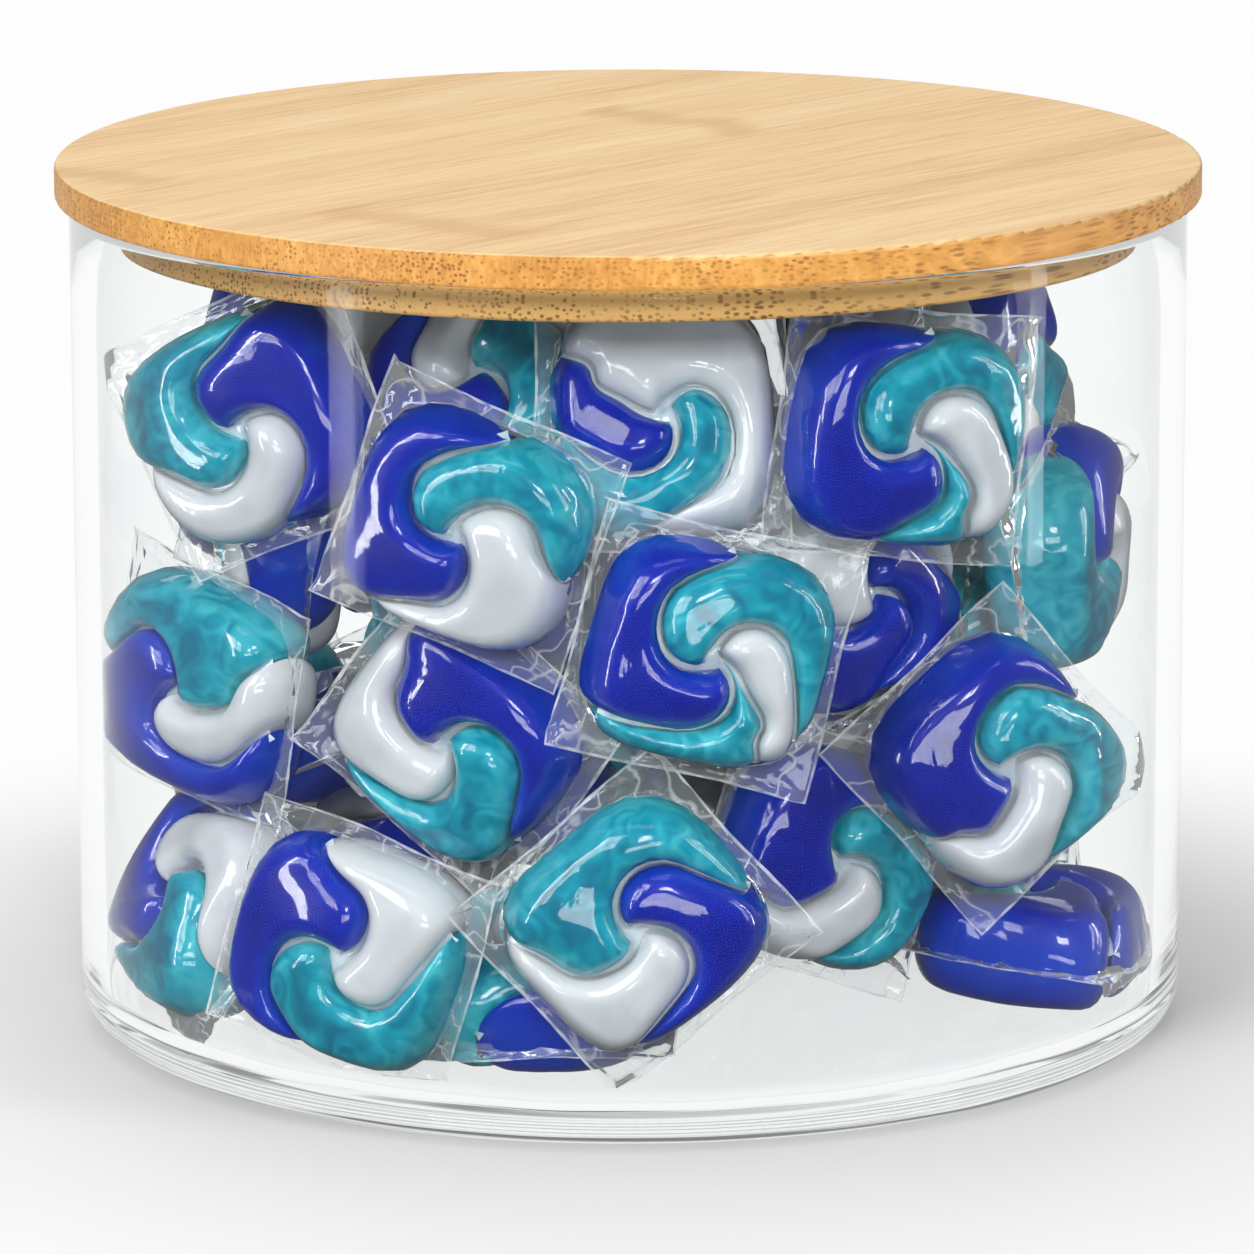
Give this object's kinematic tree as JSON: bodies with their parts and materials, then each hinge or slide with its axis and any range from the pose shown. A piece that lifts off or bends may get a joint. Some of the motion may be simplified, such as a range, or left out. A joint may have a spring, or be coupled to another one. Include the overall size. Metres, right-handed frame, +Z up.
{
  "type": "glass pod jar",
  "caption": "Wide straight-sided glass storage jar with a flat bamboo lid, filled with film-sealed three-chamber wash pods.",
  "frame": {"origin": "centre of the ring the jar stands on", "axes": "+Z up along the jar's axis, -Y towards the front"},
  "size_m": [0.205, 0.205, 0.1563],
  "materials": {
    "glass": "clear, polished",
    "bamboo": "satin",
    "pod": "wet gloss under clear film"
  },
  "bodies": {
    "filled_jar": {"jar": "glass", "pod_01": "pod", "pod_02": "pod", "pod_03": "pod", "pod_04": "pod", "pod_05": "pod", "pod_06": "pod", "pod_07": "pod", "pod_08": "pod", "pod_09": "pod", "pod_10": "pod", "pod_11": "pod", "pod_12": "pod", "pod_13": "pod", "pod_14": "pod", "pod_15": "pod", "pod_16": "pod", "pod_17": "pod", "pod_18": "pod", "pod_19": "pod", "pod_20": "pod", "pod_21": "pod", "pod_22": "pod", "pod_23": "pod", "pod_24": "pod", "pod_25": "pod", "pod_26": "pod", "pod_27": "pod", "pod_28": "pod", "pod_29": "pod", "pod_30": "pod", "pod_31": "pod", "pod_32": "pod", "pod_33": "pod", "pod_34": "pod", "pod_35": "pod", "pod_36": "pod", "pod_37": "pod", "pod_38": "pod", "pod_39": "pod", "pod_40": "pod", "pod_41": "pod", "pod_42": "pod", "pod_43": "pod", "pod_44": "pod", "pod_45": "pod", "pod_46": "pod", "pod_47": "pod", "pod_48": "pod", "pod_49": "pod", "pod_50": "pod", "pod_51": "pod", "pod_52": "pod", "pod_53": "pod", "pod_54": "pod", "pod_55": "pod", "pod_56": "pod", "pod_57": "pod"},
    "lid_body": {"lid": "bamboo"}
  },
  "joints": [
    {"name": "lid_lift", "type": "slide", "parent": "filled_jar", "child": "lid_body", "axis": [0, 0, 1], "range_m": [0, 0.06]}
  ]
}
